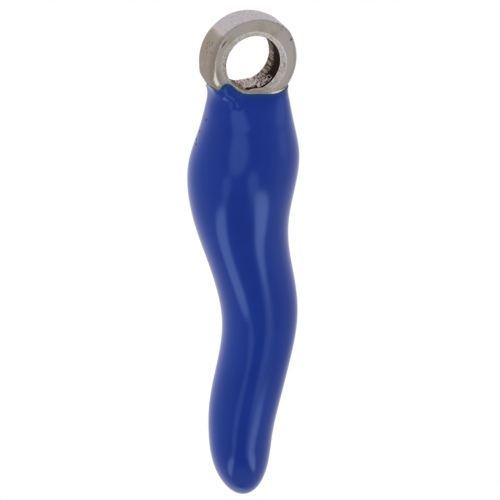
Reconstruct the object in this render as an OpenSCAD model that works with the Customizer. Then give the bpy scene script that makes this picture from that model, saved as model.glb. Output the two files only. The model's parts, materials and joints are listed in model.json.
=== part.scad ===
// Chili pepper charm: a wavy enamelled metal pepper that hangs from a thick bevelled eye.
// Sizes are in millimetres. The bore of the eye runs along Y through the origin, the front
// faces -Y, and the pepper hangs down along -Z.

/* [Eye] */
// Diameter of the bore, which takes a jump ring or a cord
bore_d = 2.5; // [2:0.05:3]
// Wall of the eye, from the bore to the outside
eye_wall = 0.8; // [0.65:0.05:0.95]
// Length of the eye along its bore
eye_len = 1.6; // [1.3:0.05:2]
// Radius of the rounded outer edges of the eye
eye_edge_r = 0.3; // [0.25:0.05:0.45]
// Width of the polished bevel round each mouth of the bore
bevel_w = 0.3; // [0.14:0.02:0.36]
// Depth of the bevel along the bore
bevel_depth = 0.12; // [0.06:0.02:0.24]

/* [Pepper] */
// Drop from the centre of the bore to the tip of the pepper
tip_drop = 20.35; // [17:0.05:24]
// Drop from the floor of the bore to the upper edge of the enamel
rim_below_bore = 0.11; // [0.02:0.01:0.2]
// Width of the pepper across its belly
belly_w = 4.9; // [4.4:0.05:5.6]
// Depth of the belly from front to back
belly_depth = 3.8; // [3.4:0.05:4.6]
// Reach of the S curve to the side, at its widest bend
sway = 0.65; // [0:0.05:1.2]
// Length of the rounded tip
cap_len = 2.5; // [1.8:0.1:3.6]
// Height of the shoulder, where the pepper rolls over to meet the eye
shoulder_h = 0.5; // [0.3:0.05:0.9]
// Metal left at the rim between the eye and the enamel
collar_t = 0.16; // [0.12:0.01:0.24]

/* [Enamel] */
// Thickness of the enamel on the body
enamel_t = 0.25; // [0.16:0.01:0.34]
// Thickness of the enamel at its upper edge
enamel_rim_t = 0.06; // [0.03:0.01:0.1]
// Height over which the enamel grows to its full thickness
enamel_rise = 1.2; // [0.8:0.1:2]

/* [Solder] */
// Height of the rough solder on the floor of the bore
solder_h = 0.13; // [0.08:0.01:0.2]
// Length of that solder along the bore
solder_len = 1.2; // [0.8:0.05:1.3]

/* [Hidden] */

// Clearance between the eye and whatever is seated on it
seat_gap = 0.02;
// Film between the enamel and the metal under it
bond_gap = 0.01;

// Stations of the pepper's outline, evenly spaced from the rim to the tip
width_shares = [0.72, 0.82, 1.06, 0.99, 0.84, 0.75, 0.72, 0.68, 0.66, 0.66, 0.60, 0.54, 0.50];
depth_shares = [0.74, 0.80, 1.04, 1.00, 0.89, 0.82, 0.78, 0.76, 0.76, 0.75, 0.71, 0.66, 0.62];
sway_shares = [0, -0.02, -0.24, -0.48, -0.50, 0.05, 0.72, 0.98, 0.51, -0.12, -0.55, -0.54, -0.30];

// Powers of the superellipses: a plain oval, the neck, the collar round the eye, and the tip
oval_power = 2;
neck_power = 2.3;
collar_power = 3;
cap_power = 2.4;
// Length below the rim over which the neck's section becomes a plain oval
neck_len = 1.6;

bore_r = bore_d/2;
eye_r = bore_r + eye_wall;
rim_drop = bore_r + rim_below_bore;
cap_drop = tip_drop - cap_len;

// Number of columns round the pepper, of rows down it, and of steps in a rounded edge
columns = 48;
shoulder_rows = 4;
body_rows = 26;
cap_rows = 7;
edge_steps = 8;

// Smooth curve of a table of shares, at a place from 0 to 1 along it
function knot(table, i) =
    let (last = len(table) - 1)
    i < 0 ? 2*table[0] - table[1]
    : i > last ? 2*table[last] - table[last - 1]
    : table[i];
function curve(table, place) =
    let (
        spans = len(table) - 1,
        t = min(max(place, 0), 1)*spans,
        i = min(floor(t), spans - 1),
        f = t - i
    )
    (pow(1 - f, 3)*knot(table, i - 1)
        + (3*pow(f, 3) - 6*pow(f, 2) + 4)*knot(table, i)
        + (1 + 3*f + 3*pow(f, 2) - 3*pow(f, 3))*knot(table, i + 1)
        + pow(f, 3)*knot(table, i + 2))/6;

// Point of a superellipse at an angle
function oval(half_w, half_depth, power, angle) =
    let (
        c = cos(angle),
        s = sin(angle),
        swell = pow(pow(abs(c), power) + pow(abs(s), power), -1/power)
    )
    [half_w*swell*c, half_depth*swell*s];

// Share of the full section that is left in the rounded tip
function cap_share(drop, inset) =
    let (u = min(max((drop - cap_drop)/(cap_len - inset), 0), 1))
    sqrt(max(1 - pow(u, cap_power), 0));

// Share of the collar in the section: all of it at the rim, none below the shoulder
function collar_share(drop) =
    let (u = min((drop - rim_drop)/shoulder_h, 1))
    1 - sqrt(1 - pow(1 - u, 2));

// Thickness of the enamel at a drop
function enamel_at(drop) =
    let (u = min((drop - rim_drop)/enamel_rise, 1))
    enamel_rim_t + (enamel_t - enamel_rim_t)*(1 - cos(180*u))/2;

// Half sizes that the pepper needs at a drop to hold the eye in its collar: none below the eye
function collar_half(drop) =
    let (walls = seat_gap + collar_t + enamel_at(drop))
    drop < eye_r ? [sqrt(eye_r*eye_r - drop*drop) + walls, eye_len/2 + walls] : [0, 0];

// Point of the pepper's surface at a drop and an angle, set in by an inset
function skin(drop, angle, inset) =
    let (
        place = (drop - rim_drop)/(tip_drop - rim_drop),
        cap = cap_share(drop, inset),
        fade = exp(-pow((drop - rim_drop)/neck_len, 2)),
        power = oval_power + (neck_power - oval_power)*fade,
        rim_half = collar_half(rim_drop),
        least_half = collar_half(drop),
        half_w = max(curve(width_shares, place)*belly_w/2, least_half[0]),
        half_depth = max(curve(depth_shares, place)*belly_depth/2, least_half[1]),
        body = oval((half_w - inset)*cap, (half_depth - inset)*cap, power, angle),
        collar = oval(rim_half[0] - inset, rim_half[1] - inset, collar_power, angle),
        k = collar_share(drop),
        flat = k*collar + (1 - k)*body
    )
    [flat[0] + sway*curve(sway_shares, place), flat[1], -drop];

// Drops of the rows, from the rim to the last row before the tip, for a surface set in there
function row_drops(inset) = concat(
    [for (i = [0:shoulder_rows - 1]) rim_drop + shoulder_h*(1 - cos(90*i/shoulder_rows))],
    [for (i = [0:body_rows - 1])
        rim_drop + shoulder_h + (cap_drop - rim_drop - shoulder_h)*i/body_rows],
    [for (i = [0:cap_rows - 1]) cap_drop + (cap_len - inset)*sin(90*i/cap_rows)]);
function ring(drop, inset) = [for (i = [0:columns - 1]) skin(drop, 360*i/columns, inset)];
function tip(inset) = skin(tip_drop - inset, 0, inset);
rows = shoulder_rows + body_rows + cap_rows;

// Faces between rows of points that start at a given number, closed by the point after them
function wall_faces(start, count) = concat(
    [for (j = [0:count - 2]) for (i = [0:columns - 1])
        let (a = start + j*columns + i, b = start + j*columns + (i + 1)%columns)
        each [[a, b, b + columns], [a, b + columns, a + columns]]],
    [for (i = [0:columns - 1])
        let (a = start + (count - 1)*columns)
        [a + i, a + (i + 1)%columns, start + count*columns]]);
function turned(faces) = [for (f = faces) [f[2], f[1], f[0]]];

// Solid that fills the enamel, up to a flat top at the rim
module core_blank() {
    walls = [for (drop = row_drops(enamel_t)) each ring(drop, enamel_at(drop) + bond_gap)];
    points = concat(walls, [tip(enamel_t + bond_gap)], [[0, 0, -rim_drop]]);
    top = [for (i = [0:columns - 1]) [(i + 1)%columns, i, rows*columns + 1]];
    polyhedron(points, concat(wall_faces(0, rows), top), convexity = 6);
}

// Outer shape of the eye without its bore, grown all round
module eye_blank(grow) {
    half = eye_len/2 + grow;
    r = eye_edge_r + grow;
    flank = [for (i = [0:edge_steps])
        [eye_r + grow - r + r*sin(90*i/edge_steps), -half + r - r*cos(90*i/edge_steps)]];
    rotate([90, 0, 0])
        rotate_extrude($fn = 96)
            polygon(concat(
                [[0, -half]],
                flank,
                [for (i = [0:edge_steps]) [flank[edge_steps - i][0], -flank[edge_steps - i][1]]],
                [[0, half]]));
}

// Thick plated eye with a polished bevel at each mouth of its bore
module eye_ring() {
    overrun = bevel_depth;
    color("silver")
        difference() {
            eye_blank(0);
            rotate([90, 0, 0]) {
                cylinder(r = bore_r, h = eye_len + 2*overrun, center = true, $fn = 96);
                for (side = [0, 180])
                    rotate([side, 0, 0])
                        translate([0, 0, eye_len/2 - bevel_depth])
                            cylinder(
                                r1 = bore_r, r2 = bore_r + 2*bevel_w, h = 2*bevel_depth,
                                $fn = 96);
            }
        }
}

// Cast metal body, with a socket in its collar that takes the lower part of the eye
module pepper_core() {
    color("darkgray")
        difference() {
            core_blank();
            eye_blank(seat_gap);
        }
}

// Blue enamel all round the body, thin at its upper edge
module enamel_coat() {
    outside = [for (drop = row_drops(0)) each ring(drop, 0)];
    inside = [for (drop = row_drops(enamel_t)) each ring(drop, enamel_at(drop))];
    points = concat(outside, [tip(0)], inside, [tip(enamel_t)]);
    start = rows*columns + 1;
    rim = [for (i = [0:columns - 1])
        let (next = (i + 1)%columns)
        each [[next, i, start + i], [next, start + i, start + next]]];
    color("royalblue")
        polyhedron(
            points,
            concat(wall_faces(0, rows), turned(wall_faces(start, rows)), rim),
            convexity = 8);
}

// Rough, nearly flat patch of solder on the floor of the bore
module solder_bed() {
    color("rosybrown")
        intersection() {
            rotate([90, 0, 0])
                cylinder(r = bore_r - seat_gap, h = solder_len, center = true, $fn = 96);
            translate([-bore_r, -bore_r, -2*bore_r])
                cube([2*bore_r, 2*bore_r, bore_r + solder_h]);
        }
}

eye_ring();
pepper_core();
enamel_coat();
solder_bed();
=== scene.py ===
import json
import math

import bmesh
import bpy
import numpy as np
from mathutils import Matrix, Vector


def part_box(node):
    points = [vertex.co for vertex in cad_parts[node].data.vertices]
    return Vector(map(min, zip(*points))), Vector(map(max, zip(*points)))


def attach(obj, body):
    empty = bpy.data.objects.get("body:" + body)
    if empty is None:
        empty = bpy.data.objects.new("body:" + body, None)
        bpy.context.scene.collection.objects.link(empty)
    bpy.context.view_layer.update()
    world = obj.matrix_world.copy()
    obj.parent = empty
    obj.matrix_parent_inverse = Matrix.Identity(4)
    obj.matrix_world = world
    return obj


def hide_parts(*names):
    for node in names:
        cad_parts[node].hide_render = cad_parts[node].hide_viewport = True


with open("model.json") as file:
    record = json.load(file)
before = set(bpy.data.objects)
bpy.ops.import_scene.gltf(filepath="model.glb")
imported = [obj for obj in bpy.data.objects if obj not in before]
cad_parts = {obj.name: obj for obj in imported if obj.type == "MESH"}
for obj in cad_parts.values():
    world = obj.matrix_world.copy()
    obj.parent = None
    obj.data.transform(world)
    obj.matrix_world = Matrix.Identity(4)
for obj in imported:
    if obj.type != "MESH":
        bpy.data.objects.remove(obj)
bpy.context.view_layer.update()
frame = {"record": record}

bl_info = {
    "name": "Chili Pepper Charm",
    "version": (1, 0, 0),
    "blender": (4, 5, 0),
    "location": "View3D > Sidebar > Charm",
    "description": "Makes a wavy enamelled pepper that hangs from a thick plated eye",
    "category": "Add Mesh",
}

# The bore of the eye runs along Y through the origin, the front faces -Y, and the pepper
# hangs down along -Z. Formulas work in millimetres, and a finished mesh is in metres.
MM = 0.001
EYE_LOW, EYE_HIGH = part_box("eye_ring")
PEPPER_LOW, PEPPER_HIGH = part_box("enamel_coat")
SOLDER_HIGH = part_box("solder_bed")[1]
BORE = frame["record"]["mounts"][0]["dims"]

# Shares of the belly's width, of its depth and of the sway, evenly spaced from rim to tip
WIDTH_SHARES = [0.72, 0.82, 1.06, 0.99, 0.84, 0.75, 0.72, 0.68, 0.66, 0.66, 0.60, 0.54, 0.50]
DEPTH_SHARES = [0.74, 0.80, 1.04, 1.00, 0.89, 0.82, 0.78, 0.76, 0.76, 0.75, 0.71, 0.66, 0.62]
SWAY_SHARES = [
    0, -0.02, -0.24, -0.48, -0.50, 0.05, 0.72, 0.98, 0.51, -0.12, -0.55, -0.54, -0.30]

# The enamel's upper edge: its usual drop below the bore's centre, and what lowers or lifts it,
# with the degrees from +X by way of +Y where that starts, is full, fades and ends. It sags
# behind, climbs the left of the eye, and dips to the right of the middle
EDGE_LEVEL = 1.335
EDGE_CHANGES = [
    (0.08, 0, 85, 95, 165), (-0.38, 100, 210, 213, 268), (0.11, 265, 300, 302, 330)]

# Radius of the eye's front edge and width of its front bevel, once round from +X by way of
# +Z: both were dressed by hand
FRONT_EDGE = [
    0.24, 0.18, 0.10, 0.06, 0.05, 0.05, 0.10, 0.22, 0.24, 0.26, 0.30, 0.30, 0.30, 0.30, 0.30, 0.29]
FRONT_BEVEL = [
    0.29, 0.22, 0.20, 0.23, 0.25, 0.27, 0.30, 0.34, 0.27, 0.22, 0.23, 0.25, 0.27, 0.29, 0.31, 0.32]

# Casting pits in the outside of the eye: angle round it and place along it, and their size
PITS = [
    (2.68, 0.09), (2.63, -0.04), (2.60, -0.31), (2.64, -0.34), (2.75, -0.03), (2.80, 0.01),
    (2.845, -0.17), (2.79, -0.58), (2.69, -0.20), (1.00, -0.75), (0.94, -0.71), (0.86, -0.76),
    (0.49, -0.79)]
PIT_R = 0.03

# Fuller places in the outside of the eye: angle round it, half width there and height
FULLER = [(0.72, 0.28, 0.065), (3.42, 0.14, 0.045)]

# A scratch in the front of the eye, and a notch in the edge of its bore: distance from the
# bore, half width, angle round the eye, half width there and depth
SCRATCH = (0.54, 0.020, 2.47, 0.09, 0.02)
NOTCH = (0.02, 0.045, 3.09, 0.045, 0.05)

# Burst bubbles in the left edge of the enamel: x, y and z
BUBBLES = [
    (-1.98, -0.15, -2.54), (-2.16, 0.21, -3.17), (-2.28, 0.30, -3.55), (-2.37, 0.11, -3.72)]

# The swelling under the tongue: where it starts, as x and a drop, its direction, the same way,
# how far it lies to the left of a line from there, and its half width
SWELL_FROM, SWELL_WAY = (-1.32, 0.95), (0.81, 0.58)
SWELL_ASIDE, SWELL_HALF_W = 0.26, 0.36

# Where the tongue is widest, as an angle, and its half widths to the left and right of that
TONGUE_TURN, TONGUE_LEFT, TONGUE_RIGHT = math.radians(237.5), math.radians(14), math.radians(12.5)

# Metal and enamel outside the eye well above the rim, where both are thin
THIN_WALL = 0.08

# Power of the rounded tip, what the neck's section adds to an oval's power of 2, and the
# length over which that fades
TIP_POWER, NECK_SQUARE, NECK_LEN = 2.4, 0.3, 1.6

# The tip's skew: how far it goes back for each millimetre to the right, and how far above the
# tip it starts and is full
SKEW, SKEW_STARTS, SKEW_FULL = 0.07, 4.3, 1.5

# Gap between the core and what it carries
BOND_GAP = 0.01


def linear(code):
    """Linear RGBA of an sRGB hex colour: c/12.92 when small, else ((c + 0.055)/1.055)^2.4."""
    parts = [int(code[i:i + 2], 16) / 255 for i in (1, 3, 5)]
    rgb = [c / 12.92 if c <= 0.04045 else ((c + 0.055) / 1.055) ** 2.4 for c in parts]
    return (*rgb, 1.0)


def length(name, description, millimetres):
    """Length setting, given in millimetres and held in metres."""
    return bpy.props.FloatProperty(
        name=name, description=description, default=millimetres * MM, min=0.0,
        precision=5, subtype="DISTANCE", unit="LENGTH")


def colour(name, description, code):
    """Colour setting, given as an sRGB hex code and held as linear RGBA."""
    return bpy.props.FloatVectorProperty(
        name=name, description=description, default=linear(code), size=4,
        min=0.0, max=1.0, subtype="COLOR")


class EyeSizes(bpy.types.PropertyGroup):
    """Sizes of the thick eye at the top."""
    bore_r: length("Bore radius", "Radius of the bore", BORE["r_mm"])
    outer_r: length("Outer radius", "Radius of the eye's outside", EYE_HIGH.z / MM)
    long: length("Length", "Length of the eye along its bore", (EYE_HIGH.y - EYE_LOW.y) / MM)
    edge_r: length("Edge radius", "Radius of the rounded outer edges", 0.3)
    bevel_w: length("Bevel width", "Width of the bevel at each mouth of the bore", 0.3)
    bevel_depth: length("Bevel depth", "Depth of the bevel along the bore", 0.12)
    solder_drop: length(
        "Solder drop", "Drop of the rough solder's highest grains", -SOLDER_HIGH.z / MM)


class PepperSizes(bpy.types.PropertyGroup):
    """Sizes of the pepper and its enamel."""
    rim_drop: length("Rim drop", "Drop of the pepper's shoulder", -PEPPER_HIGH.z / MM)
    tip_drop: length("Tip drop", "Drop of the pepper's tip", -PEPPER_LOW.z / MM)
    belly_w: length("Belly width", "Width of the pepper across its belly", 4.9)
    belly_depth: length("Belly depth", "Depth of the belly, front to back", 3.8)
    sway: length("Sway", "Reach of the S curve at its widest bend", 0.65)
    cap_len: length("Tip length", "Length of the rounded tip", 2.5)
    shoulder_h: length("Shoulder height", "Height over which the pepper rolls to the eye", 0.5)
    wall: length("Wall at the rim", "Metal and enamel outside the eye at the rim", 0.24)
    enamel_t: length("Enamel", "Thickness of the enamel on the body", 0.25)
    enamel_edge_t: length("Enamel edge", "Thickness of the enamel at its upper edge", 0.06)
    enamel_rise: length("Enamel rise", "Height over which the enamel grows thick", 1.2)
    tongue_h: length("Tongue height", "Height of the tongue of enamel on the eye", 0.43)
    ridge_h: length("Ridge height", "Height of the swelling that runs down from it", 0.10)


class Colours(bpy.types.PropertyGroup):
    """Colours of the finishes."""
    enamel: colour("Enamel", "Deep blue of the enamel where it lies thick", "#002286")
    enamel_light: colour("Enamel, lighter", "Blue of the slightly milkier patches", "#042A8E")
    enamel_thin: colour("Enamel, thin", "Teal of the enamel where it thins out", "#0E3B55")
    enamel_lip: colour("Enamel, edge", "Pale grey of the metal through its last film", "#9AA29F")
    plate: colour("Plating", "Worn nickel plating of the eye", "#D0C6BD")
    # The cool and dull platings also paint light: the top of the eye's outside is pushed to the
    # cool one as a painted reflection, and its left to the dull one as painted shade
    plate_cool: colour("Plating, rubbed", "Cooler rubbed patches of the plating", "#C9C2C6")
    plate_dull: colour("Plating, dull", "Duller patches of the plating", "#BAAEA1")
    # Painted highlight: this near-white is mixed into the eye's bright edge lines and face, and
    # into the core's lip on its right
    bevel: colour("Bevel", "Metal of the rubbed edges", "#F2EEE6")
    # Dirt in the nicks and bubbles, and also painted shade on the eye: the bottom of the bore's
    # inner edge and a band at the left of the face
    nick_dirt_and_shade: colour("Nicks", "Dirt in the nicks", "#2E2822")
    # The bore is nearly black in its front half and brown with pale marks towards its back
    bore: colour("Bore", "Dark tarnish inside the bore", "#22160C")
    bore_dull: colour("Bore, dull", "Brown tarnish towards the back of the bore", "#51453A")
    bore_rubbed: colour("Bore, rubbed", "Metal in the rubbed marks of the bore", "#BFAE9B")
    solder: colour("Solder", "Grains of the rough solder", "#F2E0D8")
    # The pit colour is also painted shade where the solder goes down to the floor, as in the groove
    # before its ledge
    solder_pit_and_shade: colour("Solder pits", "Hollows between its grains", "#2B1F18")
    scorch: colour("Scorched solder", "Brown grains at the left of the solder", "#BF9A72")
    floor: colour("Floor", "Plain pale floor", "#F4F4F4")


def mm(value):
    """A setting's metres in millimetres."""
    return value / MM


def along(table, place, closed=False):
    """Uniform cubic B-spline over evenly spaced stations: a value is the sum of its four
    nearest stations times (1-f)^3, 3f^3-6f^2+4, 1+3f+3f^2-3f^3 and f^3, over 6, where f is the
    share of the way to the next. A closed table runs on from its last station to its first."""
    table = np.asarray(table, float)
    if closed:
        t = np.mod(place, 1.0) * len(table)
        i = np.floor(t).astype(int)
        near = [table[(i + step) % len(table)] for step in (-1, 0, 1, 2)]
    else:
        ends = np.concatenate([[2 * table[0] - table[1]], table, [2 * table[-1] - table[-2]]])
        t = np.clip(place, 0, 1) * (len(table) - 1)
        i = np.minimum(np.floor(t).astype(int), len(table) - 2)
        near = [ends[i + step] for step in range(4)]
    f = t - i
    weights = [(1 - f) ** 3, 3 * f**3 - 6 * f**2 + 4, 1 + 3 * f + 3 * f**2 - 3 * f**3, f**3]
    return sum(w * v for w, v in zip(weights, near)) / 6


def soft_step(low, high, value):
    """0 below low, 1 above high, and 3t^2-2t^3 between them."""
    t = np.clip((value - low) / (high - low), 0, 1)
    return t * t * (3 - 2 * t)


def between(low, full, fade, end, value):
    """0 below low, 1 from full to fade and 0 above end, with a soft step up and one down."""
    return soft_step(low, full, value) * (1 - soft_step(fade, end, value))


def bell(distance, width, power=2):
    """1 at no distance, falling away on both sides: e^(-(distance/width)^power)."""
    return np.exp(-((distance / width) ** power))


def oval(half_w, half_depth, power, angle):
    """Superellipse: the point at an angle, moved out by (|cos|^p + |sin|^p)^(-1/p)."""
    c, s = np.cos(angle), np.sin(angle)
    swell = (np.abs(c) ** power + np.abs(s) ** power) ** (-1 / power)
    return half_w * swell * c, half_depth * swell * s


def ripple(x, y, z, sizes, seed):
    """Even, seamless unevenness: a sum of cosine waves of the given lengths, each in a random
    direction and phase, over the square root of their number."""
    random = np.random.default_rng(seed)
    total = np.zeros(np.broadcast(x, y, z).shape)
    for size in sizes:
        d = random.normal(size=3)
        d *= 2 * math.pi / size / np.linalg.norm(d)
        total += np.cos(d[0] * x + d[1] * y + d[2] * z + random.uniform(0, 2 * math.pi))
    return total / math.sqrt(len(sizes))


def edge_drop(angle):
    """Drop of the enamel's upper edge at an angle, without the tongue: a level, plus each
    change by a soft step up and one down."""
    turn = np.degrees(angle)
    return EDGE_LEVEL + sum(change * between(*where, turn) for change, *where in EDGE_CHANGES)


def tongue(angle):
    """Share of the tongue at an angle: (1 - (a/h)^2)^2 within its half width h, which differs
    to the left and the right, else 0."""
    half = np.where(angle < TONGUE_TURN, TONGUE_LEFT, TONGUE_RIGHT)
    return np.clip(1 - ((angle - TONGUE_TURN) / half) ** 2, 0, 1) ** 2


def enamel_at(pepper, drop):
    """Thickness of the enamel: grows by a half cosine from its upper edge."""
    u = np.clip((drop - mm(pepper.rim_drop)) / mm(pepper.enamel_rise), 0, 1)
    edge = mm(pepper.enamel_edge_t)
    return edge + (mm(pepper.enamel_t) - edge) * (1 - np.cos(math.pi * u)) / 2


def wall_at(pepper, drop):
    """Distance of the enamel's outside from the eye: full below the rim and thin above it."""
    rim, above, below = mm(pepper.rim_drop), 0.32, 0.12
    return THIN_WALL + (mm(pepper.wall) - THIN_WALL) * soft_step(rim - above, rim + below, drop)


def skin(pepper, eye, drop, angle, inset):
    """x and y of the pepper's surface at a drop and an angle, set in by an inset. Below the rim
    it is an oval of the tabled width and depth, which a superellipse round the eye replaces
    by soft steps over the shoulder, a longer one in depth; above the rim it follows the
    eye."""
    rim, tip, cap_len = mm(pepper.rim_drop), mm(pepper.tip_drop), mm(pepper.cap_len)
    place = (drop - rim) / (tip - rim)
    u = np.clip((drop - (tip - cap_len)) / (cap_len - inset), 0, 1)
    cap = np.sqrt(np.maximum(1 - u**TIP_POWER, 0))
    power = 2 + NECK_SQUARE * bell(np.maximum(drop - rim, 0), NECK_LEN)
    wall = wall_at(pepper, drop)
    half_w = along(WIDTH_SHARES, place) * mm(pepper.belly_w) / 2
    half_depth = along(DEPTH_SHARES, place) * mm(pepper.belly_depth) / 2
    body = oval((half_w - inset) * cap, (half_depth - inset) * cap, power, angle)
    # The drop, held at the rim below it by a soft least: r - s ln(1 + e^((r - drop)/s))
    soft = 0.06
    held = rim - soft * np.logaddexp(0, (rim - drop) / soft)
    collar_w = np.sqrt(mm(eye.outer_r) ** 2 - held**2) + wall
    collar_depth = mm(eye.long) / 2 + wall
    # The collar's power is 3 where its wall is full and 5 where it is thin
    square = 5 - 2 * (wall - THIN_WALL) / (mm(pepper.wall) - THIN_WALL)
    collar = oval(collar_w - inset, collar_depth - inset, square, angle)
    above, shoulder_h = 0.25, mm(pepper.shoulder_h)
    k = 1 - soft_step(rim - above, rim + 1.3 * shoulder_h, drop)
    k_deep = 1 - soft_step(rim - above, rim + 3 * shoulder_h, drop)
    x = k * collar[0] + (1 - k) * body[0]
    y = k_deep * collar[1] + (1 - k_deep) * body[1]
    y = y + SKEW * soft_step(tip - SKEW_STARTS, tip - SKEW_FULL, drop) * x
    return x + mm(pepper.sway) * along(SWAY_SHARES, place), y


def drops_below(pepper, top, shoulder_rows, body_rows, inset):
    """Drops of the rows from each column's own top to the last row before the tip: even steps
    to the shoulder, quarter-circle steps over it, growing steps down the body, to a share
    0.35 t + 0.65 t^1.5 of it, and quarter-circle steps into the tip."""
    rim, high = mm(pepper.rim_drop), mm(pepper.shoulder_h)
    cap = mm(pepper.tip_drop) - mm(pepper.cap_len)
    start = np.maximum(rim, top + 0.02)
    above = top + (start - top) * np.linspace(0, 1, shoulder_rows, endpoint=False)[:, None]
    first = np.arccos(1 - (start - rim) / high)
    turn = first + (math.pi / 2 - first) * np.linspace(0, 1, shoulder_rows)[:, None]
    over = rim + high * (1 - np.cos(turn))
    steps = np.linspace(0, 1, body_rows + 1)[1:]
    down = rim + high + (cap - rim - high) * (0.35 * steps + 0.65 * steps**1.5)
    turns = np.linspace(0, math.pi / 2, body_rows // 7 + 1)[1:-1]
    end = cap + (mm(pepper.cap_len) - inset) * np.sin(turns)
    rest = np.concatenate([down, end])[:, None] + np.zeros_like(top)
    return np.concatenate([above, over, rest])


def mesh_piece(name, points, faces, marks=None, uv=None):
    """Mesh object from an array of points in millimetres and a list of face arrays, smooth,
    with a float attribute for each mark and a UV map from a point's own u and v."""
    mesh = bpy.data.meshes.new(name)
    mesh.from_pydata((points * MM).tolist(), [], [f for part in faces for f in part.tolist()])
    for key, values in (marks or {}).items():
        mesh.attributes.new(key, "FLOAT", "POINT").data.foreach_set("value", values.ravel())
    if uv is not None:
        corner = np.empty(len(mesh.loops), int)
        mesh.loops.foreach_get("vertex_index", corner)
        mesh.uv_layers.new(name="around").data.foreach_set("uv", uv[corner].ravel())
    mesh.polygons.foreach_set("use_smooth", np.ones(len(mesh.polygons), bool))
    mesh.update()
    mesh.validate()
    piece = bpy.data.objects.new(name, mesh)
    bpy.context.scene.collection.objects.link(piece)
    return piece


def grid_faces(rows, columns):
    """Quads of a grid that is closed round its columns, facing away from its axis when the
    rows run down and the columns run anticlockwise seen from above."""
    j, i = np.meshgrid(np.arange(rows - 1), np.arange(columns), indexing="ij")
    a = j * columns + i
    b = j * columns + (i + 1) % columns
    return np.stack([a, a + columns, b + columns, b], axis=-1).reshape(-1, 4)


def fan_faces(row, columns, pole):
    """Triangles from the last row of a grid down to a pole."""
    i = np.arange(columns)
    return np.stack([row + i, np.full(columns, pole), row + (i + 1) % columns], axis=-1)


def closed_grid(grid, bottom, top):
    """Points and faces of a grid of rows that run round an axis, closed by triangles from its
    last row to a bottom point and from its first to a top point."""
    rows, columns = grid.shape[:2]
    last = rows * columns
    points = np.concatenate([grid.reshape(-1, 3), [bottom], [top]])
    lid = fan_faces(0, columns, last + 1)[:, ::-1]
    return points, [grid_faces(rows, columns), fan_faces(last - columns, columns, last), lid]


def finish_piece(piece, material, slot, *nodes):
    """Gives a piece its material and puts it on the body in place of its CAD nodes."""
    piece.data.materials.append(material)
    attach(piece, "root")
    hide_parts(*nodes)


def add(tree, kind, inputs=None, stops=None, **settings):
    """Adds a node with its settings, its inputs as values or links, and a ramp's stops."""
    made = tree.nodes.new(kind)
    for key, value in settings.items():
        setattr(made, key, value)
    for key, value in (inputs or {}).items():
        if isinstance(value, bpy.types.NodeSocket):
            tree.links.new(value, made.inputs[key])
        else:
            made.inputs[key].default_value = value
    if stops:
        ramp = made.color_ramp.elements
        while len(ramp) < len(stops):
            ramp.new(1.0)
        for element, (place, value) in zip(ramp, stops):
            element.position = place
            element.color = value
    return made


def blank_material(name):
    """Empty node material with its output, and object coordinates turned to millimetres."""
    material = bpy.data.materials.new(name)
    material.use_nodes = True
    tree = material.node_tree
    tree.nodes.clear()
    place = add(tree, "ShaderNodeTexCoord").outputs["Object"]
    scaled = add(tree, "ShaderNodeMapping", {"Vector": place, "Scale": (1 / MM,) * 3})
    return material, tree, scaled.outputs["Vector"]


def grey(value):
    """Linear RGBA of a grey level."""
    return (value, value, value, 1.0)


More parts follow.
